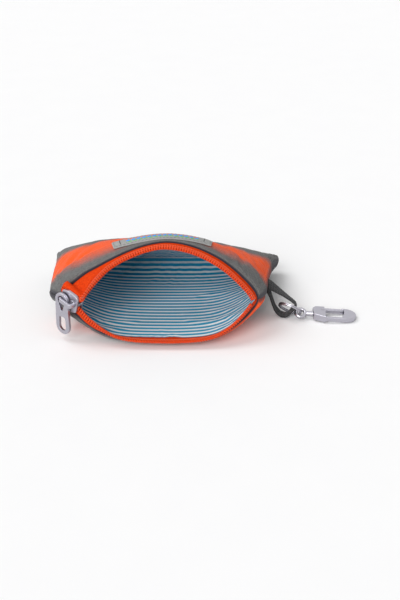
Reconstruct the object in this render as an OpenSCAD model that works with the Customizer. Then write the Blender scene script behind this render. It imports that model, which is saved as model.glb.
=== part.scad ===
// Zip-top coin pouch lying on its back with its mouth held open, and a swivel hook on a webbing loop.
// Millimetres. X runs along the mouth, +Y towards the bottom fold, +Z up.
// The origin is the centre of the flat patch of the underside that the pouch rests on.

/* [Pouch] */
// Half width at the bottom fold, left of the middle
fold_left = 63.5; // [58:0.5:70]
// Half width at the bottom fold, right of the middle
fold_right = 61.5; // [56:0.5:68]
// Half width behind the mouth, left of the middle
mouth_left = 58.8; // [55:0.2:62]
// Half width behind the mouth, right of the middle
mouth_right = 49; // [46:0.5:53]
// From the mouth to the bottom fold
pouch_depth = 79; // [72:1:95]
// How far the mouth's side ends lie in front of the origin
mouth_front = 31; // [27:0.5:36]
// Height of the side seams at the mouth
mouth_h = 20; // [17:0.5:24]
// Height of the seam along the bottom fold
fold_h = 10.5; // [8:0.5:13]
// How far the upper rim arches above the side seams
mouth_rise = 29; // [22:0.5:34]
// How far the upper rim leans back
rim_lean = 8.5; // [4:0.5:12]
// How far the lower lip reaches forward
lip_reach = 8; // [4:0.5:12]
// How far the mouth's left end sweeps back
sweep_left = 6; // [4:0.5:8]
// How far the mouth's right end sweeps back
sweep_right = 3.5; // [2:0.5:6]
// Half of the room between the panels at the seams
seam_half = 1.6; // [1.4:0.1:2.4]
// Radius of the corners at the bottom fold
corner_r = 4; // [2:0.5:7]

/* [Fabric] */
// Thickness of the padded outer fabric
panel_t = 1.4; // [0.8:0.1:2.2]
// Thickness of the lining
lining_t = 0.4; // [0.3:0.05:0.6]
// Thickness of the zip tape
tape_t = 0.5; // [0.3:0.05:0.7]
// How far the tape reaches back under the rim
tape_hold = 8; // [5:0.5:12]

/* [Zip coil] */
// Width of one coil across the tape
coil_w = 2.9; // [2.4:0.1:3.1]
// Thickness of one coil
coil_t = 2.2; // [1.8:0.1:2.4]
// Number of ribs on one coil
coil_ribs = 64; // [40:1:80]
// How far the coils stand out in front of the fabric rim
coil_reach = 3.9; // [3:0.1:5]

/* [Slider] */
// Length of the slider along the zip
slider_l = 11; // [10:0.5:12]
// Width of the slider at its throat
slider_w = 10; // [9.8:0.1:10.6]
// Thickness of each slider plate
plate_t = 1; // [0.8:0.1:1.3]
// Width of the bridge that holds the pull
bridge_w = 2.2; // [1.6:0.1:2.4]
// Thickness of the bridge
bridge_t = 1.3; // [1:0.1:1.6]
// How far the slider is turned from the mouth's line
slider_yaw = 40; // [35:1:43]
// How far the slider's throat points down
slider_dip = 16; // [10:1:20]

/* [Pull tab] */
// Length of the pull tab
pull_l = 22.6; // [21:0.2:24]
// Width of the pull tab
pull_w = 9.6; // [9:0.2:10.4]
// Thickness of the pull tab
pull_t = 1.6; // [1.2:0.1:1.8]
// Length of the hole that hangs on the bridge
pull_hole_l = 8.6; // [8:0.2:9]

/* [Label] */
// Length of the label along the rim
label_w = 49; // [30:1:60]
// Depth of the label
label_d = 8; // [6:0.5:12]
// Thickness of the label
label_t = 0.7; // [0.4:0.1:1]

/* [Webbing loop] */
// Width of the webbing at the side seam
web_w = 7.5; // [5:0.5:8]
// Width of the webbing where it is drawn through the ring
web_neck_w = 4.8; // [4:0.1:5]
// Thickness of the webbing
web_t = 1.1; // [0.8:0.1:1.2]

/* [Split ring] */
// Outer diameter of the split ring
ring_d = 13; // [12.8:0.1:13.2]
// Thickness of its wire towards the middle
ring_wire = 1.1; // [0.9:0.1:1.2]
// Height of its two turns together
ring_h = 1.5; // [1.2:0.1:1.6]

/* [Swivel hook] */
// Length of the hook without its eye
hook_l = 22.7; // [21:0.1:30]
// Width of the hook
hook_w = 11.8; // [11.4:0.1:14]
// Thickness of the nose and the spine
hook_t = 2.4; // [2:0.1:3]
// Thickness of the block that carries the swivel and the gate
block_t = 3.6; // [3.4:0.1:4.4]
// Length of the block
block_l = 6.4; // [6:0.1:8]
// Width of the spine
spine_w = 1.6; // [1.2:0.1:2.4]
// Length of the nose
nose_l = 7.3; // [6.8:0.1:9]
// Width of the gate's arm
gate_w = 2.4; // [2:0.1:2.8]
// Thickness of the gate
gate_t = 1.9; // [1.6:0.1:2]
// Diameter of the gate's pin
pin_d = 1.4; // [1:0.1:1.6]
// Diameter of the swivel's stem
stem_d = 1.8; // [1.4:0.1:2]
// Diameter of the wire of the swivel's eye
eye_wire = 1.9; // [1.6:0.1:2]
// Diameter of the eye's hole
eye_hole_d = 3.1; // [3:0.1:3.4]

/* [Hidden] */
$fn = 36;

// Small clearances
seam_gap = 0.06;    // each panel's distance from the seam's plane
layer_gap = 0.1;    // between one layer of fabric and the next
slack = 0.15;       // between loose metal pieces
fit_gap = 0.05;     // radial clearance of a turning fit

// Numbers of facets of the fabric
cols = 30;
hold_rows = 4;      // over the tape
rows = 9;           // from the tape to the bottom fold

function unit(v) = v / norm(v);
function mix(a, b, f) = a + (b - a) * f;
function clamp01(x) = min(max(x, 0), 1);
function smooth(x) = let (k = clamp01(x)) k * k * (3 - 2 * k);

// Form of the pouch. c runs from -1 at the left seam to 1 at the right one,
// t from 0 at the fabric rim to 1 at the bottom fold, and d is the depth below the padded
// fabric's inner face: negative is outwards. side is 1 for the upper half and -1 for the lower.
roll_t = 0.13;        // share of the depth over which the rim rolls in
roll_left = 7.3;      // how far the rim draws in at the left end
roll_right = 3;       // how far the rim draws in at the right end
roll_up = 2.2;        // how far the upper rim dips
roll_low = 0.5;       // how far the lower lip lifts
close_t = 0.76;       // where the underside starts to round up to the bottom fold

function roll(t) = t < roll_t ? pow((roll_t - t) / roll_t, 2) : 0;
function corner_in(t) =
    let (s = max(0, (t - 1) * pouch_depth + corner_r))
    corner_r - sqrt(max(corner_r * corner_r - s * s, 0));
function half_width(c, t) =
    c < 0
    ? mix(mouth_left, fold_left, pow(clamp01(t), 2)) - roll_left * roll(t) - corner_in(t)
    : mix(mouth_right, fold_right, pow(clamp01(t), 1.8)) - roll_right * roll(t) - corner_in(t);
function edge(c) = sqrt(max(0, 1 - pow(abs(c), 60)));
function seam_height(t) = mix(mouth_h, fold_h, clamp01(t));
function close_in(t) = let (s = max(0, (t - close_t) / (1 - close_t))) sqrt(max(0, 1 - s * s));
function crown(c, t) =
    pow(max(0, 1 - c * c), mix(c < 0 ? 1.08 : 0.85, 0.3, pow(clamp01(t), 0.7)));
function sag(c) = min(1, 1.08 * (1 - pow(abs(c), 2.6)));
function sweep(c) = (c < 0 ? sweep_left : sweep_right) * pow(abs(c), 5);
function skin(c, t, d, side) =
    let (
        fade = pow(1 - clamp01(t), 1.5),
        rim = edge(c) * edge(t),
        reach = side > 0 ? rim_lean * crown(c, t) : -lip_reach * sag(c),
        rise = mouth_rise * (1 - pow(clamp01(t), 1.7)) - roll_up * roll(t),
        drop = seam_height(t) - seam_half - panel_t - seam_gap - roll_low * roll(t),
        lift = side > 0 ? rise * crown(c, t) : drop * sag(c) * close_in(t)
    )
    [c * (half_width(c, t) - d),
     -mouth_front + (pouch_depth - d) * t + (reach + sweep(c)) * fade,
     seam_height(t) + side * (seam_gap + lift + (seam_half - d) * rim)];

// All layers share the panels' columns and rows, which keeps their facets apart
fabric_cs = [for (i = [0:cols]) -cos(180 * i / cols)];
hold_t = tape_hold / pouch_depth;
hold_ts = [for (i = [0:hold_rows]) hold_t * i / hold_rows];
fabric_ts = concat(hold_ts, [for (i = [1:rows]) mix(hold_t, 1, sin(90 * i / rows))]);
function skin_grid(cs, ts, d, side) = [for (t = ts) [for (c = cs) skin(c, t, d, side)]];
function on_fabric(c, t, d, side) =
    let (
        i = min(floor(acos(-c) * cols / 180), cols - 1),
        f = (c - fabric_cs[i]) / (fabric_cs[i + 1] - fabric_cs[i])
    )
    mix(skin(fabric_cs[i], t, d, side), skin(fabric_cs[i + 1], t, d, side), f);

// A closed solid between two grids of points, the first one on top
module between(top, bottom) {
    r = len(top);
    k = len(top[0]);
    n = r * k;
    flat_top = [for (row = top) for (p = row) p];
    flat_bottom = [for (row = bottom) for (p = row) p];
    cells = [for (i = [0:r - 2]) for (j = [0:k - 2]) i * k + j];
    ends = concat([for (j = [0:k - 2]) [j, j + 1]],
                  [for (i = [0:r - 2]) [i * k + k - 1, (i + 1) * k + k - 1]],
                  [for (j = [k - 1:-1:1]) [(r - 1) * k + j, (r - 1) * k + j - 1]],
                  [for (i = [r - 1:-1:1]) [i * k, (i - 1) * k]]);
    polyhedron(
        points = concat(flat_top, flat_bottom),
        faces = concat(
            [for (a = cells) [a, a + k, a + 1]],
            [for (a = cells) [a + 1, a + k, a + k + 1]],
            [for (a = cells) [n + a, n + a + 1, n + a + k]],
            [for (a = cells) [n + a + 1, n + a + k + 1, n + a + k]],
            [for (e = ends) [e[0], e[1], n + e[1]]],
            [for (e = ends) [e[0], n + e[1], n + e[0]]]));
}

// A closed tube through rings of points
module through(rings) {
    n = len(rings);
    m = len(rings[0]);
    polyhedron(
        points = [for (ring = rings) for (p = ring) p],
        faces = concat(
            [for (i = [0:n - 2]) for (j = [0:m - 1])
                [i * m + j, i * m + (j + 1) % m, (i + 1) * m + j]],
            [for (i = [0:n - 2]) for (j = [0:m - 1])
                [i * m + (j + 1) % m, (i + 1) * m + (j + 1) % m, (i + 1) * m + j]],
            [[for (j = [m - 1:-1:0]) j]],
            [[for (j = [0:m - 1]) (n - 1) * m + j]]));
}

// The points of an outline with each corner rounded by its own radius
function rounded(pts, radii, steps = 6) =
    [for (i = [0:len(pts) - 1])
        let (
            p = pts[i],
            a = unit(pts[(i + len(pts) - 1) % len(pts)] - p),
            b = unit(pts[(i + 1) % len(pts)] - p),
            turn = acos(a * b),
            away = radii[i] / tan(turn / 2),
            mid = p + unit(a + b) * radii[i] / sin(turn / 2),
            from = p + a * away - mid,
            to = p + b * away - mid,
            bend = 180 - turn
        )
        for (s = [0:steps])
            mid + (from * sin(bend * (1 - s / steps)) + to * sin(bend * s / steps)) / sin(bend)];

// Fabric layers, as depths below the padded fabric's inner face
tape_top = layer_gap;
tape_low = tape_top + tape_t;
lining_top = tape_low + layer_gap;
lining_low = lining_top + lining_t;

module layer(from_row, outer, inner, side) {
    ts = [for (i = [from_row:len(fabric_ts) - 1]) fabric_ts[i]];
    outside = skin_grid(fabric_cs, ts, outer, side);
    inside = skin_grid(fabric_cs, ts, inner, side);
    if (side > 0) between(outside, inside);
    else between(inside, outside);
}
module panel(side) layer(0, -panel_t, 0, side);
module lining(side) layer(1, lining_top, lining_low, side);

module upper_panel() color([0.42, 0.42, 0.40]) panel(1);
module lower_panel() color([0.42, 0.42, 0.40]) panel(-1);
module upper_lining() color([0.35, 0.66, 0.76]) lining(1);
module lower_lining() color([0.35, 0.66, 0.76]) lining(-1);

// The slider's own frame: u along the zip with the throat at +u, w across it, and n out of its front plate
slider_in = 12;       // from the left seam to the middle of the slider
slider_fwd = 2;       // how far the slider stands in front of the mouth's side ends
slider_up = 2.4;      // and above them
slider_pos = [-(mouth_left - slider_in), -mouth_front - slider_fwd, mouth_h + slider_up];
level = [cos(slider_yaw), -sin(slider_yaw), 0];
along = level * cos(slider_dip) - [0, 0, sin(slider_dip)];
upward = level * sin(slider_dip) + [0, 0, cos(slider_dip)];
outward = cross(along, upward);
function at_slider(u, w) = slider_pos + u * along + w * upward;
module in_slider() translate(slider_pos) rotate([90, 0, -slider_yaw]) rotate(-slider_dip) children();

// Route of a coil: closed behind the slider, parted in its throat, then along the mouth
coil_depth = (tape_top + tape_low) / 2;
closed_w = (coil_w + fit_gap) / 2;        // coil's distance from the chain's middle, zip closed
divider_w = 1.6;                          // width of the slider's divider
parted_w = divider_w / 2 + coil_w / 2 + layer_gap;
stub_l = 1.6;                             // closed chain behind the slider
tail_u = -slider_l / 2 - stub_l;
throat_u = slider_l / 2;
part_from = -3.2;                         // where the coils begin to part
part_to = 0.2;                            // where they are fully apart
c_throat = -0.86;
c_mouth = -0.58;
c_right = 0.985;
fan = 26;                                 // angle at which the coils leave the throat
function coil_apart(u) = mix(closed_w, parted_w, smooth((u - part_from) / (part_to - part_from)));
function mouth_point(c, side) = skin(c, -coil_reach / pouch_depth, coil_depth, side);
function coil_u(c) = mix(tail_u, throat_u, (c + 1) / (c_throat + 1));
function coil_point(c, side) =
    c <= c_throat ? at_slider(coil_u(c), side * coil_apart(coil_u(c)))
    : c >= c_mouth ? mouth_point(c, side)
    : let (
        f = (c - c_throat) / (c_mouth - c_throat),
        p = at_slider(throat_u, side * parted_w),
        q = mouth_point(c_mouth, side),
        pull = norm(q - p),
        m = pull * (along * cos(fan) + upward * side * sin(fan)),
        e = 0.01,
        k = (mouth_point(c_mouth + e, side) - mouth_point(c_mouth, side)) / e * (c_mouth - c_throat)
    )
    p * (2 * f * f * f - 3 * f * f + 1) + m * (f * f * f - 2 * f * f + f)
    + q * (3 * f * f - 2 * f * f * f) + k * (f * f * f - f * f);

// The tape leaves the coil flat past the slider's edge, bends back over the rear plate, and turns
// to the fabric rim. Along the open mouth it goes straight there
tape_past = 0.7;                          // how far the tape stays off the slider's edges
c_sewn = -0.955;                          // where it starts on the fabric rim
slot_w = slider_w / 2 + tape_past;
function wrap(c) = 1 - smooth((c - c_throat) / (c_mouth - c_throat));
function sewn(c) = c < c_throat ? mix(c_sewn, c_throat, (c + 1) / (c_throat + 1)) : c;
function tape_turn(c, side, back, share) =
    let (
        coil = coil_point(c, side),
        past = coil + side * upward * (slot_w - (c <= c_throat ? coil_apart(coil_u(c)) : parted_w))
    )
    mix(mix(coil, skin(sewn(c), 0, coil_depth, side), share), past - back * outward, wrap(c));
function tape_bend(c, side) = tape_turn(c, side, 0, 0.5);
function tape_over(c, side) = tape_turn(c, side, front_top + tape_past, 0.75);
function heading(c, side) =
    let (e = 0.004) unit(coil_point(min(c + e, c_right), side) - coil_point(max(c - e, -1), side));
function across(c, side) =
    let (
        h = heading(c, side),
        w = tape_bend(c, side) - coil_point(c, side)
    )
    unit(w - h * (w * h));
function facing(c, side) = cross(heading(c, side), across(c, side));

module tape(side) {
    fan_cs = [for (i = [1:8]) mix(c_throat, c_mouth, i / 8)];
    cs = concat([for (i = [0:10]) mix(-1, c_throat, i / 10)], fan_cs,
                [for (c = fabric_cs) if (c > c_mouth + 0.01 && c < c_right - 0.005) c], [c_right]);
    function face(up) = concat([
        [for (c = cs) coil_point(c, side) + across(c, side) * (coil_w / 2 + layer_gap)
                      + facing(c, side) * up * tape_t / 2],
        [for (c = cs) tape_bend(c, side)
                      + unit(facing(c, side) + side * wrap(c) * across(c, side)) * up * tape_t / 2],
        [for (c = cs) tape_over(c, side) + unit((1 - wrap(c)) * facing(c, side)
                                                + side * wrap(c) * across(c, side)) * up * tape_t / 2]],
        [for (t = hold_ts) [for (c = cs) on_fabric(sewn(c), t, coil_depth - side * up * tape_t / 2, side)]]);
    between(face(1), face(-1));
}

module coil(side) {
    n = 160;
    cs = [for (i = [0:n]) mix(-1, c_right, i / n)];
    pts = [for (c = cs) coil_point(c, side)];
    run = [for (i = 0, s = 0; i <= n; s = s + (i < n ? norm(pts[i + 1] - pts[i]) : 0), i = i + 1) s];
    place = [for (i = [0:n]) [run[i], cs[i]]];
    sides = 6;
    turns = 2 * coil_ribs;
    through([for (i = [0:turns])
        let (
            c = lookup(run[n] * i / turns, place),
            swell = i % 2 == 1 ? 1 : 0.8
        )
        [for (j = [0:sides - 1])
            coil_point(c, side)
            + across(c, side) * coil_w / 2 * swell * cos(360 * j / sides)
            - facing(c, side) * coil_t / 2 * swell * sin(360 * j / sides)]]);
}

module upper_tape() color([0.94, 0.28, 0.05]) tape(1);
module lower_tape() color([0.94, 0.28, 0.05]) tape(-1);
module upper_coil() color([0.9, 0.22, 0.03]) coil(1);
module lower_coil() color([0.9, 0.22, 0.03]) coil(-1);

// Label sewn on the upper panel just behind the rim
label_mid = -2.1;     // middle of the label along the rim
label_from = 1.6;     // from the fabric rim to the label
label_cols = 14;
label_rows = 4;
module label_patch() {
    t0 = label_from / pouch_depth;
    t1 = (label_from + label_d) / pouch_depth;
    under = -panel_t - layer_gap;
    cs = [for (i = [0:label_cols])
        let (x = label_mid + label_w * (i / label_cols - 0.5)) x / half_width(x, t1)];
    ts = [for (i = [0:label_rows]) mix(t0, t1, i / label_rows)];
    color([0.55, 0.55, 0.54]) between(skin_grid(cs, ts, under - label_t, 1), skin_grid(cs, ts, under, 1));
}

// Webbing: both ends in the right side seam, drawn through the split ring. x and z of its middle line
web_mid = [[52.3, 17.6], [54.6, 16.6], [57.6, 14.9], [61.4, 12.8], [64.8, 10.6], [67, 8.6], [67, 6.6],
           [65.2, 4.4], [63.6, 2.2], [61.6, 1.1], [59.2, 1.5], [56.8, 4], [55.2, 8], [53.9, 12], [52.3, 15.5]];
web_y = -4;           // where it leaves the seam
web_ring_y = -9.1;    // where it passes the ring
web_tilt = 25;        // its roll at the seam
function spline(p, i, f) =
    let (
        a = p[max(i - 1, 0)], b = p[i], c = p[i + 1], d = p[min(i + 2, len(p) - 1)]
    )
    0.5 * ((2 * b) + (c - a) * f + (2 * a - 5 * b + 4 * c - d) * f * f
           + (3 * b - a - 3 * c + d) * f * f * f);
function seam_x(y) =
    let (t = (y + mouth_front) / pouch_depth) half_width(1, t) + panel_t;
module webbing_loop() {
    n = len(web_mid) - 1;
    steps = 3;
    line = concat([for (i = [0:n - 1]) for (s = [0:steps - 1]) spline(web_mid, i, s / steps)], [web_mid[n]]);
    m = len(line) - 1;
    x0 = web_mid[0][0];
    reach = max([for (p = web_mid) p[0]]) - x0;
    color([0.07, 0.07, 0.08]) through([for (i = [0:m])
        let (
            p = line[i],
            h = unit(line[min(i + 1, m)] - line[max(i - 1, 0)]),
            far = smooth((p[0] - x0) / reach),
            roll_here = web_tilt * (1 - far),
            y = mix(web_y, web_ring_y, far),
            w = mix(web_w, web_neck_w, smooth(1.25 * (p[0] - x0) / reach)) / 2,
            wide = [0, cos(roll_here), sin(roll_here)],
            thick = unit(cross([h[0], 0, h[1]], wide)) * web_t / 2,
            mid = [p[0], y, p[1]],
            ring = [mid - wide * w - thick, mid - wide * w + thick,
                    mid + wide * w + thick, mid + wide * w - thick]
        )
        [for (q = ring) i == 0 || i == m ? [seam_x(q[1]) + layer_gap, q[1], q[2]] : q]]);
}

// Slider: two plates joined by a divider, with flanges that guide the coils
channel = coil_t + 0.4;                   // clear height between the plates
slot = tape_t + 0.4;                      // gap between the flanges for the tape
tail_half = closed_w + coil_w / 2 + 0.15; // half width of the channel at the tail
wide_half = parted_w + coil_w / 2 + 0.1;  // half width of the channel at the throat
front_top = channel / 2 + plate_t;
module plate_outline() {
    l = slider_l / 2;
    w = slider_w / 2;
    tail = tail_half + 0.75;
    polygon(rounded([[l, -w + 0.9], [l, w - 0.9], [l - 2.2, w], [-l * 0.4, w], [-l, tail],
                     [-l, -tail], [-l * 0.4, -w], [l - 2.2, -w]],
                    [1.4, 1.4, 1.6, 1.8, 1.2, 1.2, 1.8, 1.6]));
}
module channel_outline() {
    e = slider_l;
    polygon([[-e, -tail_half], [part_from - 1.8, -tail_half], [part_to - 1.6, -wide_half], [e, -wide_half],
             [e, wide_half], [part_to - 1.6, wide_half], [part_from - 1.8, tail_half], [-e, tail_half]]);
}
module slider_body() {
    l = slider_l / 2;
    color([0.72, 0.70, 0.76]) in_slider() {
        difference() {
            translate([0, 0, -front_top]) linear_extrude(2 * front_top) plate_outline();
            translate([0, 0, -channel / 2]) linear_extrude(channel) channel_outline();
            translate([-slider_l, -slider_w, -slot / 2]) cube([2 * slider_l, 2 * slider_w, slot]);
        }
        translate([0, 0, -channel / 2]) linear_extrude(channel)
            polygon(rounded([[2.4, 0], [4, -divider_w / 2], [l - 0.1, -divider_w / 2],
                             [l - 0.1, divider_w / 2], [4, divider_w / 2]],
                            [0.3, 0.2, 0.35, 0.35, 0.2], 3));
    }
}

// Bridge over the front plate, broad at its throat end. The pull's hole hangs round its tail leg
leg_u = 3.7;
foot_r = 1.9;
foot_h = 0.4;
pull_out = foot_h + slack;                        // from the front plate to the pull
bridge_clear = pull_out + pull_t + 2 * slack;     // room under the bridge
module slider_bridge() {
    top = bridge_clear + bridge_t;
    tail = -leg_u - bridge_t / 2;
    nose = leg_u + bridge_t / 2;
    color([0.72, 0.70, 0.76]) in_slider() translate([0, 0, front_top]) {
        rotate([90, 0, 0]) translate([0, 0, -bridge_w / 2]) linear_extrude(bridge_w) difference() {
            polygon(rounded([[tail, 0], [nose, 0], [nose, top], [tail, top]], [0.1, 0.1, 2, 1.6]));
            polygon(rounded([[tail + bridge_t, -1], [nose - bridge_t, -1], [nose - bridge_t, bridge_clear],
                             [tail + bridge_t, bridge_clear]], [0.1, 0.1, 1, 0.7]));
        }
        translate([nose - foot_r, 0, 0]) cylinder(h = foot_h, r = foot_r);
    }
}

// Pull tab: a tapered paddle with a long hole at the top and a slot below
hang = norm([bridge_w, bridge_t]) / 2 + slack;    // from the leg's middle up to the hole's top edge
pull_top = hang + 1.5;
pull_top_w = 8.2;
slot_l = 7.6;
module pull_tab() {
    low = pull_top - pull_l;
    slot_low = low + 1.9;
    color([0.72, 0.70, 0.76]) in_slider() translate([-leg_u, 0, front_top + pull_out]) rotate(slider_dip)
        linear_extrude(pull_t) difference() {
            polygon(rounded([[-pull_top_w / 2, pull_top], [pull_top_w / 2, pull_top], [pull_w / 2, low],
                             [-pull_w / 2, low]],
                            [pull_top_w / 2 - 0.2, pull_top_w / 2 - 0.2, pull_w / 2 - 0.3, pull_w / 2 - 0.3], 8));
            polygon(rounded([[-3.4, hang], [3.4, hang], [0, hang - pull_hole_l - 0.9]], [2.2, 2.2, 0.6], 8));
            polygon(rounded([[-2.1, slot_low + slot_l], [2.1, slot_low + slot_l], [2.5, slot_low],
                             [-2.5, slot_low]], [1, 1, 2.3, 2.3]));
        }
}

// Split ring: two turns lying one on the other, hung in the webbing and leaning
ring_mid = ring_d / 2 - ring_wire / 2;
ring_pos = [64.44, -8.42, 5.21];
ring_tilt = 45.3;
ring_turn = 57;
module split_ring() {
    notch = 0.14;
    r0 = ring_d / 2 - ring_wire;
    r1 = ring_d / 2;
    h = ring_h / 2;
    color([0.66, 0.65, 0.70]) translate(ring_pos) rotate([0, ring_tilt, ring_turn]) rotate_extrude()
        polygon([[r0, -h], [r1, -h], [r1, -notch], [r1 - notch, 0], [r1, notch], [r1, h], [r0, h],
                 [r0, notch], [r0 + notch, 0], [r0, -notch]]);
}

// Hook frame: x along the swivel from the block's end face, y across and z through the thickness
hook_pos = [76.5, -9.5, 2.75];
hook_tilt = 4;
eye_roll = 27;
module in_hook() translate(hook_pos) rotate([0, hook_tilt, 0]) children();

eye_mid = eye_hole_d / 2 + eye_wire / 2;
eye_x = -6.6;
wall_l = 1.6;                             // wall of the block that the stem passes
head_l = 0.9;
head_d = 2.5;
collar_gap = 0.35;                        // gap that shows between the swivel and the block
module swivel_eye() {
    color([0.66, 0.65, 0.70]) in_hook() rotate([eye_roll, 0, 0]) {
        translate([eye_x, 0, 0]) rotate_extrude() translate([eye_mid, 0]) circle(d = eye_wire, $fn = 16);
        translate([eye_x + eye_mid + eye_wire / 4, 0, 0]) rotate([0, 90, 0])
            cylinder(h = -eye_x - eye_mid - eye_wire / 4 - collar_gap, d1 = eye_wire + 0.4, d2 = block_t - 0.4);
        translate([-collar_gap - 0.2, 0, 0]) rotate([0, 90, 0])
            cylinder(h = collar_gap + 0.2 + wall_l + slack, d = stem_d);
    }
}
module swivel_head() {
    color([0.66, 0.65, 0.70]) in_hook() translate([wall_l + slack, 0, 0]) rotate([0, 90, 0])
        cylinder(h = head_l, d = head_d);
}

// Hook body: block, spine and nose in one casting, with a slot for the gate
gate_in = 0.2;                            // the gate's back stands this far inside the hook's edge
pivot = [5, hook_w / 2 - 3.5];
hub_r = 2.1;
bar_top = hook_w / 2 - gate_in;
bar_low = bar_top - gate_w;
bar_mid = bar_top - gate_w / 2;
nose_x = hook_l - nose_l;
tongue_l = 1;
tip_r = norm([nose_x + tongue_l - pivot[0], bar_low - pivot[1]]);    // arc of the tongue's tip
slot_x = pivot[0] - hub_r - 2 * slack;                               // the gate's slot in the block
module hook_outline() {
    w = hook_w / 2;
    polygon(rounded([[0, -w + 2.6], [0, w - 1.8], [1.8, w], [hook_l, w], [hook_l, -w], [block_l - 0.6, -w]],
                    [0.8, 0.8, 1.2, w - 0.1, w - 0.1, 2.5], 8));
}
module hook_window() {
    w = hook_w / 2;
    polygon(rounded([[block_l, -w + spine_w], [nose_x, -w + spine_w], [nose_x, w + 3], [block_l, w + 3]],
                    [1, 1, 0.5, 0.5]));
    intersection() {
        translate(pivot) circle(r = tip_r + slack, $fn = 96);
        translate([nose_x - 1, -w + spine_w + 2.5]) square([2 + tongue_l, bar_mid + slack + w - spine_w - 2.5]);
    }
}
module hook_body() {
    w = hook_w / 2;
    color([0.72, 0.70, 0.76]) in_hook() difference() {
        union() {
            translate([0, 0, -hook_t / 2]) linear_extrude(hook_t) hook_outline();
            translate([0, 0, -block_t / 2]) linear_extrude(block_t) intersection() {
                hook_outline();
                translate([-1, -w]) square([block_l + 1, hook_w]);
            }
        }
        translate([0, 0, -block_t]) linear_extrude(2 * block_t) hook_window();
        translate([slot_x, pivot[1] - hub_r - 2 * slack, -gate_t / 2 - slack / 2])
            cube([block_l + 1 - slot_x, hook_w, gate_t + slack]);
        translate([pivot[0], pivot[1], -block_t]) cylinder(h = 2 * block_t, d = pin_d + 0.02);
        translate([-1, 0, 0]) rotate([0, 90, 0]) cylinder(h = wall_l + 1.1, d = stem_d + 2 * fit_gap);
        translate([wall_l, 0, 0]) rotate([0, 90, 0]) cylinder(h = head_l + 0.4, d = head_d + 0.2);
    }
}

// Gate: a hub on its pin and an arm whose tongue closes behind the nose
groove_w = 0.5;
spring_wire = 0.3;
spring_r = pin_d / 2 + fit_gap + 0.1 + spring_wire / 2;
pocket_r = spring_r + spring_wire / 2 + 0.1;
pocket_h = 1.3;
module hook_gate() {
    color([0.72, 0.70, 0.76]) in_hook() difference() {
        translate([0, 0, -gate_t / 2]) union() {
            translate(pivot) cylinder(h = gate_t, r = hub_r);
            linear_extrude(gate_t)
                polygon(rounded([[pivot[0] - 1.4, bar_top], [nose_x - slack, bar_top], [nose_x - slack, bar_mid],
                                 [nose_x + tongue_l, bar_mid], [nose_x + tongue_l, bar_low],
                                 [pivot[0] + 2.4, bar_low], [pivot[0] + 0.8, pivot[1] - 0.4],
                                 [pivot[0] - 1.4, pivot[1]]],
                                [1.2, 0.3, 0.1, 0.2, 0.4, 1.5, 0.3, 0.2]));
        }
        translate([pivot[0] + 1.5, bar_top - 0.9 - groove_w, gate_t / 2 - 0.5])
            cube([nose_x - pivot[0] - 3, groove_w, 1]);
        translate([pivot[0], pivot[1], -block_t]) cylinder(h = 2 * block_t, d = pin_d + 2 * fit_gap);
        translate([pivot[0], pivot[1], -gate_t / 2 - 1]) cylinder(h = 1 + pocket_h, r = pocket_r);
    }
}
module gate_pin() {
    color([0.6, 0.59, 0.63]) in_hook() translate([pivot[0], pivot[1], -block_t / 2])
        cylinder(h = block_t, d = pin_d);
}

// Spring wound round the pin in a pocket of the gate
spring_turns = 2.5;
module gate_spring() {
    rise = pocket_h - spring_wire - 0.2;
    steps = 12;
    sides = 6;
    n = spring_turns * steps;
    color([0.5, 0.5, 0.53]) in_hook() translate([pivot[0], pivot[1], -gate_t / 2 + spring_wire / 2 + 0.05])
        through([for (i = [0:n])
            let (
                a = 360 * i / steps,
                out = [cos(a), sin(a), 0]
            )
            [for (j = [0:sides - 1])
                out * (spring_r + spring_wire / 2 * cos(360 * j / sides))
                + [0, 0, rise * i / n + spring_wire / 2 * sin(360 * j / sides)]]]);
}

upper_panel();
lower_panel();
upper_lining();
lower_lining();
upper_tape();
lower_tape();
upper_coil();
lower_coil();
label_patch();
webbing_loop();
slider_body();
slider_bridge();
pull_tab();
split_ring();
swivel_eye();
swivel_head();
hook_body();
hook_gate();
gate_pin();
gate_spring();
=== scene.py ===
# %% [markdown]
# # A padded zip-top coin pouch
# The pouch lies on its back panel with its mouth open, and a small swivel hook hangs from a loop of
# webbing at one side seam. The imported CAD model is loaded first. It is the frame that every piece is
# placed in, and the metal castings are shown as they come from it. Everything soft is rebuilt here.

# %% Load the frame
import math
import bpy
import numpy as np
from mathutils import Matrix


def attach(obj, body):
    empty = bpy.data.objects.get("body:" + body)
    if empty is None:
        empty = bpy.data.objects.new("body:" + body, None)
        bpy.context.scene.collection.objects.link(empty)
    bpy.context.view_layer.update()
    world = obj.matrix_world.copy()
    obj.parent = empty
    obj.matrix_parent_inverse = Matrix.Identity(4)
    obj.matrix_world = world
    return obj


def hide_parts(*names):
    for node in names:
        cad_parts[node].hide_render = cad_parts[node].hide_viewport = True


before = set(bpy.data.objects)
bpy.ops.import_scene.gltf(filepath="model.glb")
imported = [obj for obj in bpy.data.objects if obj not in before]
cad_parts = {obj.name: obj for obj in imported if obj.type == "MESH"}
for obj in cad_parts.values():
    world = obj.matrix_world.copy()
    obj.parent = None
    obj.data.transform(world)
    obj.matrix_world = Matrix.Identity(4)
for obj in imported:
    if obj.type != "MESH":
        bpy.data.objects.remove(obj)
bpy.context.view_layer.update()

# %% [markdown]
# ## Camera
# A camera is a position, a direction and a lens. A longer lens seen from further off gives the gentle
# perspective of a product photograph. It looks along +Y, 26 degrees down, and has no depth of field.

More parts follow.
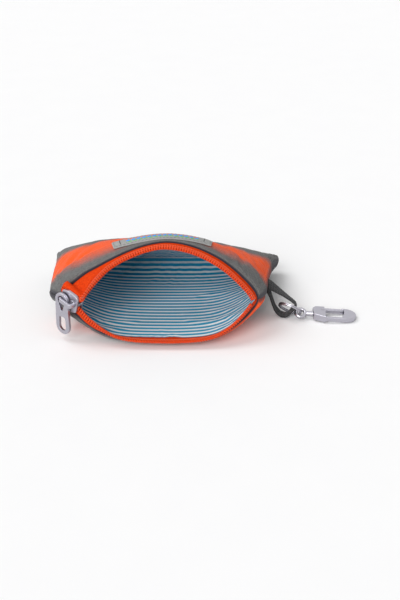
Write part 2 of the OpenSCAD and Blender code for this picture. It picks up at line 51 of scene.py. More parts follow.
# %% Camera
MM = 0.001
LOOK_DOWN = 26
camera_data = bpy.data.cameras.new("camera")
camera_data.lens = 66.66
camera_data.sensor_width = 36
camera_data.clip_start = 0.01
camera = bpy.data.objects.new("camera", camera_data)
bpy.context.collection.objects.link(camera)
camera.location = (17.0 * MM, -532.2 * MM, 265.7 * MM)
camera.rotation_euler = (math.radians(90 - LOOK_DOWN), 0, 0)
bpy.context.scene.camera = camera
print("camera at", tuple(round(v, 4) for v in camera.location))

# %% [markdown]
# ## Lamps
# Soft light comes from large sources. A sun lamp is as even at the edge of the floor as at its middle,
# and a wide angle makes its shadows as soft as those of a big diffuser close by. The key light stands
# high on the left, a little behind the pouch, and a lower one in front looks into the mouth.

# %% Lights
def sun_lamp(name, place, softness, strength):
    """A sun that shines from place to the middle of the scene, softness degrees wide."""
    data = bpy.data.lights.new(name, "SUN")
    data.angle = math.radians(softness)
    data.energy = strength
    lamp = bpy.data.objects.new(name, data)
    bpy.context.collection.objects.link(lamp)
    lamp.location = place
    lamp.rotation_euler = lamp.location.to_track_quat("Z", "Y").to_euler()
    return lamp

sun_lamp("key lamp", place=(-0.52, 0.08, 0.82), softness=42, strength=1.20)
sun_lamp("mouth lamp", place=(-0.30, -0.75, 0.48), softness=34, strength=2.10)

# %% [markdown]
# ## White studio
# The world is two plain backgrounds. The weaker one lights the pouch from all sides. The other one is
# white, and only the camera, reflections and anything clear get to see it. Light Path tells the rays
# apart, so the picture's background can be white without more light falling on the fabric.


# %% World
FILL_LIGHT, SEEN_WHITE = 0.40, 1.0
world = bpy.data.worlds.new("pale studio")
bpy.context.scene.world = world
world.use_nodes = True
sky = world.node_tree
sky.nodes.clear()

def background(strength):
    made = sky.nodes.new("ShaderNodeBackground")
    made.inputs["Color"].default_value = (1.0, 1.0, 1.0, 1)
    made.inputs["Strength"].default_value = strength
    return made.outputs[0]

ray = sky.nodes.new("ShaderNodeLightPath")
seen = ray.outputs["Is Camera Ray"]
for kind in ("Is Glossy Ray", "Is Transmission Ray"):
    either = sky.nodes.new("ShaderNodeMath")
    either.operation = "MAXIMUM"
    sky.links.new(seen, either.inputs[0])
    sky.links.new(ray.outputs[kind], either.inputs[1])
    seen = either.outputs[0]
choice = sky.nodes.new("ShaderNodeMixShader")
for socket, source in enumerate((seen, background(FILL_LIGHT), background(SEEN_WHITE))):
    sky.links.new(source, choice.inputs[socket])
sky.links.new(choice.outputs[0], sky.nodes.new("ShaderNodeOutputWorld").inputs["Surface"])
bpy.context.scene.view_settings.view_transform = "Standard"
print("world nodes:", len(sky.nodes))

# %% [markdown]
# ## Node helpers
# A finish is a small network of nodes. These helpers make a node, set its inputs by name and link what
# is given as another node's output, so that each finish below reads like a recipe.

# %% Node helpers
class Finish:
    """A material with a Principled shader, and short calls that add nodes to it."""
    def __init__(self, name, **sockets):
        self.material = bpy.data.materials.new(name)
        self.material.use_nodes = True
        self.tree = self.material.node_tree
        self.tree.nodes.clear()
        self.shader = self.tree.nodes.new("ShaderNodeBsdfPrincipled")
        out = self.tree.nodes.new("ShaderNodeOutputMaterial")
        self.tree.links.new(self.shader.outputs[0], out.inputs["Surface"])
        for key, value in sockets.items():
            self.shows(key.replace("_", " "), value)

    def put(self, socket, value):
        """Link a node's output to a socket, or write a plain value on it."""
        if isinstance(value, bpy.types.NodeSocket):
            self.tree.links.new(value, socket)
        elif hasattr(value, "__len__") and len(value) == 3 and len(socket.default_value) == 4:
            socket.default_value = (*value, 1)
        else:
            socket.default_value = value

    def shows(self, name, value):
        """Set one of the shader's own inputs."""
        self.put(self.shader.inputs[name], value)

    def node(self, kind, inputs=(), **settings):
        made = self.tree.nodes.new("ShaderNode" + kind)
        for key, value in settings.items():
            setattr(made, key, value)
        for key, value in dict(inputs).items():
            self.put(made.inputs[key], value)
        return made

    def calc(self, operation, a, b=0.0, c=0.0):
        made = self.node("Math", operation=operation)
        for socket, value in zip(made.inputs, (a, b, c)):
            self.put(socket, value)
        return made.outputs[0]

    def blend(self, factor, a, b):
        made = self.node("Mix", data_type="RGBA")
        self.put(made.inputs["Factor"], factor)
        self.put(made.inputs[6], a)
        self.put(made.inputs[7], b)
        return made.outputs[2]

    def spread(self, value, low, high, to_low=0.0, to_high=1.0):
        """A soft step: to_low where value is low, and to_high where it is high."""
        ends = {"Value": value, "From Min": low, "From Max": high, "To Min": to_low, "To Max": to_high}
        return self.node("MapRange", ends, interpolation_type="SMOOTHSTEP").outputs["Result"]

    def uv(self, layer="cloth"):
        """The two values of a UV map. On cloth: millimetres along the mouth, and from the rim."""
        parts = self.node("SeparateXYZ", {0: self.node("UVMap", uv_map=layer).outputs[0]})
        return parts.outputs[0], parts.outputs[1]

    def place(self):
        return self.node("TexCoord").outputs["Object"]

    def noise(self, scale, detail=3.0, rough=0.55):
        made = self.node("TexNoise", {"Vector": self.place(), "Scale": scale, "Detail": detail,
                                      "Roughness": rough})
        return made.outputs["Fac"]

    def flecked(self, scale, dark, light):
        """A colour that wanders between two, in flecks about 1 / scale metres wide."""
        return self.blend(self.noise(scale, 2.0), dark, light)

    def wave(self, value, length):
        """A sine that repeats every length of value."""
        return self.calc("SINE", self.calc("MULTIPLY", value, 2 * math.pi / length))

    def bump(self, height, distance, strength=1.0):
        made = self.node("Bump", {"Height": height, "Distance": distance, "Strength": strength})
        return made.outputs[0]

print("node helpers ready")

# %% [markdown]
# ## Floor
# The pouch lies on a plain pale sheet, much wider than the view, so that no edge of it shows. It is
# staging and not part of the object, and it lies a fifth of a millimetre below the fabric.

# %% Floor
FLOOR_Z = -0.0002
floor_finish = Finish("pale paper", Roughness=0.85)
floor_finish.shows("Base Color", floor_finish.flecked(35.0, (0.90, 0.90, 0.905), (0.92, 0.92, 0.922)))
floor_mesh = bpy.data.meshes.new("floor")
floor_corners = [(x, y, FLOOR_Z) for x, y in ((-6, -3), (6, -3), (6, 9), (-6, 9))]
floor_mesh.from_pydata(floor_corners, [], [(0, 1, 2, 3)])
floor = bpy.data.objects.new("floor", floor_mesh)
bpy.context.collection.objects.link(floor)
floor_mesh.materials.append(floor_finish.material)
print("floor laid")

# %% [markdown]
# ## Building cloth from grids
# A sheet of cloth is a grid of points in rows and columns. A padded panel is two such grids, an outer
# and an inner one, joined along their edges. The UV map keeps the distance over the cloth in
# millimetres, so that weave, stripes and print keep their real size wherever the cloth bends.

# %% Grid helpers
def lay_uv(mesh, name, values):
    """A UV map from one pair of values for each point."""
    layer = mesh.uv_layers.new(name=name)
    corner = np.empty(len(mesh.loops), dtype=np.int32)
    mesh.loops.foreach_get("vertex_index", corner)
    layer.data.foreach_set("uv", np.asarray(values, dtype=np.float32)[corner].ravel())

def add_piece(name, points, faces, uvs, finish, slot, body="pouch"):
    """A mesh object from points in millimetres, one uv pair for each point."""
    mesh = bpy.data.meshes.new(name)
    mesh.from_pydata((np.asarray(points, float) * MM).tolist(), [], [tuple(f) for f in faces])
    lay_uv(mesh, "cloth", uvs)
    mesh.validate()
    mesh.shade_smooth()
    made = bpy.data.objects.new(name, mesh)
    bpy.context.collection.objects.link(made)
    mesh.materials.append(finish.material)
    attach(made, body)
    return made

def grid_faces(rows, cols, start=0, flip=False, closed=False):
    """The quads between the points of a grid, or of a grid that is rolled into a tube."""
    quads = []
    for i in range(rows - 1):
        for j in range(cols if closed else cols - 1):
            k = (j + 1) % cols
            quad = (start + i * cols + j, start + i * cols + k, start + (i + 1) * cols + k,
                    start + (i + 1) * cols + j)
            quads.append(quad[::-1] if flip else quad)
    return quads

def shell(name, top, bottom, uv, **keys):
    """A closed sheet between two grids of points, the first one facing up."""
    rows, cols = top.shape[:2]
    n = rows * cols
    faces = grid_faces(rows, cols) + grid_faces(rows, cols, n, flip=True)
    ring = list(range(cols)) + [i * cols + cols - 1 for i in range(1, rows)]
    ring += [(rows - 1) * cols + j for j in range(cols - 2, -1, -1)]
    ring += [i * cols for i in range(rows - 2, 0, -1)]
    for a, b in zip(ring, ring[1:] + ring[:1]):
        faces.append((b, a, n + a, n + b))
    points = np.concatenate([top.reshape(-1, 3), bottom.reshape(-1, 3)])
    flat = np.asarray(uv, float).reshape(-1, 2)
    return add_piece(name, points, faces, np.concatenate([flat, flat]), **keys)

print("grid helpers ready")

# %% [markdown]
# ## Building thread and wire from rings
# A thread is a tube: a ring of points is carried along a line and turned with it. A curve object with a
# bevel would also do, but rings of points allow an oval section and keep the mesh light, which counts
# where there are hundreds of small stitches.

# %% Tube helpers
def run_of(line):
    """Distance along a line of points, from its first point to each of them."""
    return np.concatenate([[0], np.cumsum(np.linalg.norm(np.diff(line, axis=0), axis=1))])

def spline(points, steps):
    """A smooth line through points, or smooth rows between the given rows of a grid."""
    out = []
    for i in range(len(points) - 1):
        a, b = points[max(i - 1, 0)], points[i]
        c, d = points[i + 1], points[min(i + 2, len(points) - 1)]
        for f in np.arange(steps) / steps:
            out.append(0.5 * (2 * b + (c - a) * f + (2 * a - 5 * b + 4 * c - d) * f * f
                              + (3 * b - a - 3 * c + d) * f ** 3))
    return np.array(out + [points[-1]])

def bend(start, leaving, end, arriving, f):
    """A point of a curve that leaves start and reaches end in given directions, f from 0 to 1."""
    return (start * (2 * f ** 3 - 3 * f * f + 1) + leaving * (f ** 3 - 2 * f * f + f)
            + end * (3 * f * f - 2 * f ** 3) + arriving * (f ** 3 - f * f))

def tube_points(line, ups, wide, thick, sides):
    """Rings of points round a line. ups says which way each ring's thickness points."""
    line = np.asarray(line, float)
    way = np.gradient(line, axis=0)
    way /= np.linalg.norm(way, axis=1)[:, None]
    ups = np.broadcast_to(np.asarray(ups, float), line.shape)
    out = np.cross(way, ups)
    out /= np.linalg.norm(out, axis=1)[:, None]
    up = np.cross(out, way)
    turn = np.linspace(0, 2 * np.pi, sides, endpoint=False)
    wide = np.broadcast_to(wide, len(line))[:, None, None]
    thick = np.broadcast_to(thick, len(line))[:, None, None]
    return (line[:, None] + out[:, None] * wide * np.cos(turn)[None, :, None]
            + up[:, None] * thick * np.sin(turn)[None, :, None])

def tube_faces(rings, sides, start=0):
    """The wall of a tube and a flat cap at each of its ends."""
    first = [start + j for j in range(sides)]
    last = [start + (rings - 1) * sides + j for j in range(sides)]
    return grid_faces(rings, sides, start, closed=True) + [first[::-1], last]

def add_tubes(name, tubes, **keys):
    """One piece from any number of tubes, each given as its rings of points."""
    rings, sides = tubes[0].shape[:2]
    points = np.concatenate([rows.reshape(-1, 3) for rows in tubes])
    faces = []
    for k in range(len(tubes)):
        faces += tube_faces(rings, sides, k * rings * sides)
    return add_piece(name, points, faces, np.zeros((len(points), 2)), **keys)

print("tube helpers ready")

# %% [markdown]
# ## The form of the pouch
# The pouch is not drawn freehand: one formula gives each point of its fabric. c runs from -1 at the
# left seam to 1 at the right one, t from 0 at the zip to 1 at the bottom fold, d is the depth below the
# padded fabric's inner face, and side is 1 for the upper half and -1 for the lower one. The formula is
# the CAD's own, so the soft pieces fill the space of the solids that they replace.

# %% Measures of the pouch
# half widths at the bottom fold and behind the mouth
FOLD_LEFT, FOLD_RIGHT, MOUTH_LEFT, MOUTH_RIGHT = 63.5, 61.5, 58.8, 49.0
# from the mouth to the fold, how much of that lies before the origin, and the seam's height at both
DEPTH, FRONT, MOUTH_H, FOLD_H = 79.0, 31.0, 20.0, 10.5
# how the upper rim arches and leans back, the lip reaches out, and both ends of the mouth sweep back
RISE, LEAN, LIP, SWEEP_LEFT, SWEEP_RIGHT = 29.0, 8.5, 8.0, 6.0, 3.5
# half of the room at the seams, the corners' radius, and the thickness of each layer
SEAM_HALF, CORNER, PANEL_T, LINING_T, TAPE_T, TAPE_HOLD = 1.6, 4.0, 1.4, 0.4, 0.5, 8.0
SEAM_GAP, LAYER_GAP = 0.06, 0.1
# where the fabric rolls in towards the mouth, by how much, and where the halves close at the fold
ROLL_T, ROLL_LEFT, ROLL_RIGHT, ROLL_UP, ROLL_LOW, CLOSE_T = 0.13, 7.3, 3.0, 2.2, 0.5, 0.76
print("pouch:", FOLD_LEFT + FOLD_RIGHT, "x", DEPTH, "mm")

# %% Form of the pouch
def clamp01(x):
    return np.clip(x, 0.0, 1.0)

def smoothstep(x):
    x = clamp01(x)
    return x * x * (3 - 2 * x)

def mix(a, b, f):
    return a + (b - a) * f

def roll(t):
    """1 at the rim, and 0 from where the fabric has stopped rolling in."""
    return np.where(t < ROLL_T, ((ROLL_T - t) / ROLL_T) ** 2, 0.0)

def half_width(c, t):
    k = clamp01(t)
    s = np.maximum(0, (t - 1) * DEPTH + CORNER)
    corner = CORNER - np.sqrt(np.maximum(CORNER ** 2 - s * s, 0))
    left = mix(MOUTH_LEFT, FOLD_LEFT, k ** 2) - ROLL_LEFT * roll(t)
    right = mix(MOUTH_RIGHT, FOLD_RIGHT, k ** 1.8) - ROLL_RIGHT * roll(t)
    return np.where(c < 0, left, right) - corner

def edge(x):
    """1 over the whole width, with a round fall to 0 just at the seams."""
    return np.sqrt(np.maximum(0, 1 - np.abs(x) ** 60))

def crown(c, t):
    """How the upper half arches over its width: round at the mouth, and flat towards the fold."""
    power = mix(np.where(c < 0, 1.08, 0.85), 0.3, clamp01(t) ** 0.7)
    return np.maximum(0, 1 - c * c) ** power

def sag(c):
    """How the lower half sags: 0 at the seams and 1 where it lies flat, with a soft change between."""
    full = 1.08 * (1 - np.abs(c) ** 2.6)
    near = np.maximum(0.22 - np.abs(full - 1), 0)
    return np.minimum(1, full) - near ** 2 / 0.88

def skin(c, t, d, side):
    """Points of the fabric in millimetres, for arrays of c and t."""
    c, t = np.broadcast_arrays(np.asarray(c, float), np.asarray(t, float))
    k = clamp01(t)
    height = mix(MOUTH_H, FOLD_H, k)
    close = np.sqrt(np.maximum(0, 1 - np.maximum(0, (t - CLOSE_T) / (1 - CLOSE_T)) ** 2))
    if side > 0:
        reach = LEAN * crown(c, t)
        lift = (RISE * (1 - k ** 1.7) - ROLL_UP * roll(t)) * crown(c, t)
    else:
        reach = -LIP * sag(c)
        down = height - SEAM_HALF - PANEL_T - SEAM_GAP - ROLL_LOW * roll(t)
        lift = down * sag(c) * close
    sweep = np.where(c < 0, SWEEP_LEFT, SWEEP_RIGHT) * np.abs(c) ** 5
    x = c * (half_width(c, t) - d)
    y = -FRONT + (DEPTH - d) * t + (reach + sweep) * (1 - k) ** 1.5
    z = height + side * (SEAM_GAP + lift + (SEAM_HALF - d) * edge(c) * edge(t))
    return np.stack(np.broadcast_arrays(x, y, z), -1)

print("front of the lower lip:", skin(0.0, 0.0, -PANEL_T, -1).round(1))

# %% [markdown]
# ## Slack in the fabric
# Cut cloth is never as smooth as a formula. Each half is laid out as a sheet, held along the seams and
# the rim, given a little more cloth than it needs and left to settle with Blender's cloth simulation.
# The simulation buckles the sheet into soft folds. Only the difference to the smooth form is kept, so
# that panel, lining and zip tape can all follow the same folds without touching each other.

# %% Let the cloth settle
SLACK_COLS, SLACK_ROWS = 97, 53
SETTLE_FRAMES = 24
SIM_SCALE, FULL_SCALE = 0.01, 100      # the sheet is ten times too large, where the solver works best
FOLD_PASSES = 14       # smoothing that leaves only the form, so what it takes away are the folds
slack_c = np.linspace(-1, 1, SLACK_COLS)
slack_t = np.linspace(0, 1, SLACK_ROWS)

def smoothed(field, times):
    """A grid of values with its small waves averaged away."""
    for _ in range(times):
        wide = np.pad(field, ((1, 1), (1, 1), (0, 0)), mode="edge")
        field = (wide[1:-1, 1:-1] * 4 + wide[:-2, 1:-1] + wide[2:, 1:-1]
                 + wide[1:-1, :-2] + wide[1:-1, 2:]) / 8
    return field

def settle(side, extra, most):
    """The folds of one half in millimetres, with extra as its spare cloth and most as the cap."""
    rest = skin(slack_c[None, :], slack_t[:, None], 0.3, side)
    mesh = bpy.data.meshes.new("settling_cloth")
    mesh.from_pydata((rest.reshape(-1, 3) * SIM_SCALE).tolist(), [],
                     grid_faces(SLACK_ROWS, SLACK_COLS, flip=side < 0))
    sheet = bpy.data.objects.new("settling_cloth", mesh)
    bpy.context.collection.objects.link(sheet)
    held = sheet.vertex_groups.new(name="held")
    edge_points = [i * SLACK_COLS + j for i in range(SLACK_ROWS) for j in range(SLACK_COLS)
                   if i in (0, SLACK_ROWS - 1) or j in (0, SLACK_COLS - 1)]
    held.add(edge_points, 1.0, "REPLACE")
    settings = sheet.modifiers.new("cloth", "CLOTH").settings
    settings.quality = 5
    settings.mass = 0.3
    settings.tension_stiffness = settings.compression_stiffness = 30
    settings.shear_stiffness = 10
    settings.bending_stiffness = 0.5
    settings.shrink_min = settings.shrink_max = -extra
    settings.vertex_group_mass = "held"
    settings.effector_weights.gravity = 0
    settings.use_pressure = True
    settings.uniform_pressure_force = 1.0
    for step in range(1, SETTLE_FRAMES + 1):
        bpy.context.scene.frame_set(step)
    seen = sheet.evaluated_get(bpy.context.evaluated_depsgraph_get())
    flat = np.empty(len(seen.data.vertices) * 3, dtype=np.float32)
    seen.data.vertices.foreach_get("co", flat)
    moved = flat.reshape(SLACK_ROWS, SLACK_COLS, 3) * FULL_SCALE - rest
    bpy.context.scene.frame_set(1)
    bpy.data.objects.remove(sheet)
    folds = moved - smoothed(moved, FOLD_PASSES)
    size = np.linalg.norm(folds, axis=2, keepdims=True)
    print("side", side, "folds of up to", round(float(size.max()), 2), "mm before the cap")
    return folds * (most * np.tanh(size / most) / np.maximum(size, 1e-9))

slack = {1: settle(1, extra=0.035, most=1.1), -1: settle(-1, extra=0.03, most=0.8)}

# %% [markdown]
# ## One fabric for all layers
# Panel, lining, tape and label are sewn together, so they all have to move as one. Each asks the same
# function for its points, only at another depth. It adds three things: the plain form, the folds that
# the cloth settled into, and how the filled pouch stands higher or lower than the form at some places.

# %% Fabric with its folds
def ripple(c, t, side):
    """Shift of the fabric at c and t, between the points of the settled sheet."""
    c, t = np.broadcast_arrays(np.asarray(c, float), np.asarray(t, float))
    x = clamp01((c + 1) / 2) * (SLACK_COLS - 1)
    y = clamp01(t) * (SLACK_ROWS - 1)
    j = np.minimum(x.astype(int), SLACK_COLS - 2)
    i = np.minimum(y.astype(int), SLACK_ROWS - 2)
    fx, fy = smoothstep(x - j)[..., None], smoothstep(y - i)[..., None]
    s = slack[side]
    low = mix(s[i, j], s[i, j + 1], fx)
    high = mix(s[i + 1, j], s[i + 1, j + 1], fx)
    shift = mix(low, high, fy)
    if side < 0:
        # the lower half lies on a surface, so its folds only rise
        return shift * np.array([1.0, 1.0, 0.0]) + np.maximum(shift, 0) * np.array([0.0, 0.0, 1.0])
    # a label stiffens the fabric below it
    under_label = np.exp(-((c + 0.04) / 0.6) ** 6) * (1 - smoothstep((t - 0.12) / 0.16))
    return shift * (1 - 0.9 * under_label)[..., None]

# how much higher the filled pouch and its upper rim stand than the plain form, over their width
FILL_C = [-1, -0.83, -0.73, -0.62, -0.44, -0.26, 0, 0.22, 0.43, 0.55, 0.68, 0.81, 0.92, 1]
FILL_Z = [0.9, 2.2, 2.3, 1.9, 0.4, -1.1, -1.7, -2.0, -1.8, -1.5, -1.1, -1.2, -0.9, 0]
RIM_C = [-1, -0.86, -0.75, -0.62, -0.42, -0.2, 0, 0.3, 0.6, 1]
RIM_Z = [1.8, 2.6, 1.6, 0.2, -0.5, -0.2, 0.4, 0.1, 0, 0]
BLUR = (-0.08, -0.04, 0.0, 0.04, 0.08)
DROP_RIGHT, DROP_LEFT = 2.6, 0.9       # how far the corners at the fold hang down

def height_at(c, places, heights):
    """A height between given ones, averaged over a few places so that no kink shows."""
    return sum(np.interp(c + shift, places, heights) for shift in BLUR) / len(BLUR)

def fill(c, t, side):
    """Shift of the fabric that comes from how full the pouch is, in millimetres."""
    c, t = np.broadcast_arrays(np.asarray(c, float), np.asarray(t, float))
    drop = -np.where(c > 0, DROP_RIGHT, DROP_LEFT)
    drop = drop * smoothstep((np.abs(c) - 0.6) / 0.4) * smoothstep((t - 0.6) / 0.4)
    if side < 0:
        lift = drop * clamp01((skin(c, t, 0.0, -1)[..., 2] - 1) / 8)
    else:
        off_seam = smoothstep((1 - np.abs(c)) * 12)
        back = smoothstep((t - 0.06) / 0.24) * (1 - smoothstep((t - 0.88) / 0.12)) * off_seam
        front = (1 - smoothstep((t - 0.02) / 0.14)) * off_seam
        lift = height_at(c, FILL_C, FILL_Z) * back + height_at(c, RIM_C, RIM_Z) * front + drop
    return lift[..., None] * np.array([0.0, 0.0, 1.0])

def fabric(c, t, d, side):
    """Points of one layer of the sewn pouch, d millimetres below the panel's inner face."""
    return skin(c, t, d, side) + ripple(c, t, side) + fill(c, t, side)

def spaced(n, sharp=0.85):
    """n + 1 steps from 0 to 1, closer together near both ends."""
    u = np.linspace(0, 1, n + 1)
    return mix(u, (1 - np.cos(np.pi * u)) / 2, sharp)

def cloth_uv(c, t, side):
    """Millimetres along the mouth, and from the upper rim over the fold to the lower rim."""
    c, t = np.broadcast_arrays(c, t)
    along = c * half_width(c, t)
    run = t * DEPTH if side > 0 else (2 - t) * DEPTH
    return np.stack([along, run], -1)

print("folds at the middle of the top:", ripple(0.0, 0.5, 1).round(2))

# %% [markdown]
# ## Padded knit with a soft print
# The outside is a thin foam faced with a fine grey knit, printed with an airbrushed orange band that
# runs from seam to seam and widens towards both. Where a point lies across the band is kept in a
# second UV map, so the shader only has to blur and roughen its edges. The knit is rows of small
# V-shaped stitches, half a millimetre wide: bump gives their relief, and noise the mixed yarn's flecks.
# The colour also holds painted shade of the stitches, lighter where they stand up and darker between.

# %% Padded knit
WALE, COURSE = 0.55, 0.42              # width and height of one stitch, in millimetres
knit = Finish("padded knit", Roughness=0.88, Specular_IOR_Level=0.25, Sheen_Weight=0.08,
              Sheen_Roughness=0.45)
along, run = knit.uv()
from_band, towards_seam = knit.uv("print")

# V-shaped stitches: each column of them is a valley with slanted yarns on both sides
wale = knit.calc("FRACT", knit.calc("DIVIDE", along, WALE))
slant = knit.calc("ABSOLUTE", knit.calc("SUBTRACT", wale, 0.5))
row = knit.calc("ADD", knit.calc("DIVIDE", run, COURSE), knit.calc("MULTIPLY", slant, 1.3))
stitch = knit.wave(row, 1.0)
valley = knit.calc("SINE", knit.calc("MULTIPLY", wale, math.pi))
fine = knit.noise(2300.0, 3.0, rough=0.7)
print("knit stitches:", WALE, "x", COURSE, "mm")

# %% Colours of the knit
# the airbrushed band: its edge is blurred, and broken up by slow drift and by single flecks
drift = knit.calc("MULTIPLY", knit.calc("SUBTRACT", knit.noise(45.0, 2.0), 0.5), 0.35)
fleck = knit.noise(1500.0, 3.0, rough=0.75)
fleck = knit.calc("MULTIPLY", knit.calc("SUBTRACT", fleck, 0.5), 0.55)
across_band = knit.calc("ADD", knit.calc("ABSOLUTE", from_band), knit.calc("ADD", drift, fleck))
band = knit.spread(across_band, 1.60, 0.58)
# the mixed yarn's flecks, with painted shade on the stitches: lighter where a stitch stands up, darker
# between stitches
painted_stitch_shade = knit.calc("MULTIPLY", knit.calc("SUBTRACT", valley, 0.6), 0.30)
flecks_and_stitch_shade = knit.calc("ADD", fine, knit.calc("ADD", knit.calc("MULTIPLY", stitch, 0.09), painted_stitch_shade))
knit_tone_and_shade = knit.spread(flecks_and_stitch_shade, 0.22, 0.80)
grey = knit.blend(knit_tone_and_shade, (0.060, 0.060, 0.0595), (0.195, 0.195, 0.192))
orange = knit.blend(knit_tone_and_shade, (0.80, 0.065, 0.005), (1.0, 0.125, 0.015))
# a dark line where the fabric is turned in at the rims and, a little paler, at the side seams
from_rim = knit.calc("MINIMUM", run, knit.calc("SUBTRACT", 2 * DEPTH, run))
at_rim = knit.spread(from_rim, 0.30, 0.05)
at_seam = knit.calc("MULTIPLY", knit.spread(towards_seam, 0.988, 0.998), 0.75)
turned_in = knit.calc("MAXIMUM", at_rim, at_seam)
knit.shows("Base Color", knit.blend(turned_in, knit.blend(band, grey, orange), (0.030, 0.028, 0.040)))
relief = knit.calc("ADD", valley, knit.calc("MULTIPLY", fine, 0.6))
relief = knit.calc("ADD", knit.calc("MULTIPLY", stitch, 0.35), relief)
knit.shows("Normal", knit.bump(relief, 0.00009, 0.7))
print("knit nodes:", len(knit.tree.nodes))

# %% [markdown]
# ## The two padded panels
# Each panel is a closed shell, 1.4 mm thick, with rounded edges where it is turned in at the seams. On
# top of the settled folds come the marks of sewing: a crease a few millimetres behind the zip, where
# the fabric turns over the stiff tape, and small puckers that die out away from the side seams.

# %% Marks of sewing
CREASE, DIP, PUCKER, GATHER = 0.85, 0.50, 0.26, 0.16       # their heights in millimetres

def sewn_marks(c, t, side):
    """Height of the crease and the puckers above the fabric, in millimetres."""
    c, t = np.broadcast_arrays(c, t)
    # the crease behind the zip, and the dip in front of it; the label hides the crease's middle
    beside_label = 1 - 0.97 * np.exp(-((c + 0.04) / 0.46) ** 4)
    in_from_seam = clamp01((1 - np.abs(c)) * 14)
    crease = CREASE * np.exp(-((t - 0.112) / 0.020) ** 2) * beside_label * in_from_seam
    dip = -DIP * np.exp(-((t - 0.055) / 0.025) ** 2) * in_from_seam
    # puckers along the side seams, which start behind the zip and end before the fold
    from_seam = (1 - np.abs(c)) * half_width(c, t)
    waves = np.sin(t * DEPTH * 1.05 + 1.3 * np.sin(t * 17 + side)) * np.exp(-from_seam / 4.2)
    pucker = PUCKER * waves * clamp01(from_seam / 1.5)
    pucker = pucker * smoothstep((t - 0.1) / 0.1) * smoothstep((1 - t) / 0.06)
    # and smaller ones along the fold
    waves = np.sin(c * 37 + 2 * np.sin(c * 9)) * np.exp(-(1 - t) * DEPTH / 3.5)
    gather = GATHER * waves * clamp01((1 - t) * 40)
    return (0.5 if side < 0 else 1.0) * (crease + dip) + pucker + gather

def band_centre(c, t, side):
    """0 along the middle of the orange band, and 1 or -1 where it ends."""
    c, t = np.broadcast_arrays(c, t)
    if side > 0:
        start, end = 0.08 + np.where(c > 0, 0.16, 0.13) * c ** 4, 0.32 + 0.28 * c ** 4
    else:
        start, end = 0.06 - 0.09 * c, 0.24 + 0.02 * c
    return (2 * t - start - end) / (end - start)

print("crease behind the zip:", CREASE, "mm high")

# %% Padded panels
TURNED_EDGE = 1.1      # how far the round of the turned-in rim reaches

def panel(name, side, node):
    """A padded panel, which shows instead of the CAD's node."""
    c = mix(-1, 1, spaced(200))[None, :]
    t = spaced(110)[:, None]
    inside = fabric(c, t, 0.02, side)
    outside = fabric(c, t, -PANEL_T, side)
    step = outside - inside
    out = step / np.maximum(np.linalg.norm(step, axis=2, keepdims=True), 1e-6)
    # the fabric is turned in at the rim, so its edge is round
    turned = clamp01(t * DEPTH / TURNED_EDGE)
    outside = inside + step * (0.12 + 0.88 * np.sqrt(1 - (1 - turned) ** 2))[..., None]
    marks = sewn_marks(c, t, side)
    if side < 0:
        marks = np.minimum(marks, np.maximum(outside[..., 2], 0) * 0.5)
    outside = outside + out * marks[..., None]
    if side < 0:
        outside[..., 2] = np.maximum(outside[..., 2], 0.0)
    top, bottom = (outside, inside) if side > 0 else (inside, outside)
    made = shell(name, top, bottom, cloth_uv(c, t, side), finish=knit, slot="knit")
    centre = band_centre(c, t, side)
    place = np.stack([centre, np.broadcast_to(np.abs(c), centre.shape)], -1).reshape(-1, 2)
    lay_uv(made.data, "print", np.concatenate([place, place]))
    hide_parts(node)
    return made

upper = panel("padded_upper", 1, "upper_panel")
lower = panel("padded_lower", -1, "lower_panel")
print("panels:", [len(o.data.vertices) for o in (upper, lower)], "points")

# %% [markdown]
# ## Striped lining
# The lining is a thin plain weave with even blue and white stripes that run along the mouth. Its
# threads are too fine to model, so two crossed waves in the bump stand for them. It lies just inside
# the tape and follows the same folds as the panels.

# %% Lining cloth
STRIPE = 3.6                           # one blue and one white stripe together, in millimetres
WARP, WEFT = 0.34, 0.30                # from thread to thread
lining_finish = Finish("striped lining", Roughness=0.62, Specular_IOR_Level=0.3, Sheen_Weight=0.1)
along, run = lining_finish.uv()
sway = lining_finish.calc("SUBTRACT", lining_finish.noise(30.0, 1.0), 0.5)
sway = lining_finish.calc("MULTIPLY", sway, 0.8)
stripe = lining_finish.wave(lining_finish.calc("ADD", run, sway), STRIPE)
stripe = lining_finish.spread(stripe, 0.0, 0.34)
blue = lining_finish.flecked(1400.0, (0.0, 0.20, 0.36), (0.004, 0.38, 0.60))
white = lining_finish.flecked(1400.0, (0.74, 0.71, 0.70), (0.96, 0.93, 0.91))
lining_finish.shows("Base Color", lining_finish.blend(stripe, blue, white))
weave = lining_finish.calc("MULTIPLY", lining_finish.wave(along, WARP), lining_finish.wave(run, WEFT))
lining_finish.shows("Normal", lining_finish.bump(weave, 0.00004, 0.6))
print("stripes:", STRIPE / 2, "mm wide")

def lining(name, side, node):
    """The lining of one half, from under the tape to the fold, as a sheet of its real size."""
    top_d = LAYER_GAP + TAPE_T + LAYER_GAP
    first = TAPE_HOLD / DEPTH / 4
    c = mix(-1, 1, spaced(150))[None, :]
    t = mix(first, 1, spaced(90, 0.6))[:, None]
    outside = fabric(c, t, top_d, side)
    inside = fabric(c, t, top_d + LINING_T, side)
    top, bottom = (outside, inside) if side > 0 else (inside, outside)
    # the stripes keep their width over the real length of the cloth's middle
    uv = cloth_uv(c, t, side)
    uv[..., 1] = run_of(outside[:, outside.shape[1] // 2])[:, None]
    made = shell(name, top, bottom, uv, finish=lining_finish, slot="lining")
    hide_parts(node)
    return made

lining("striped_upper", 1, "upper_lining")
lining("striped_lower", -1, "lower_lining")

# %% [markdown]
# ## Zip tape and coil
# The zip starts at the left seam, closed, passes through the slider and parts into two halves that
# follow the two rims. Each half is a woven tape with a plastic coil sewn along its edge. The route is
# the CAD's: straight through the slider, then a smooth curve on to the rim.

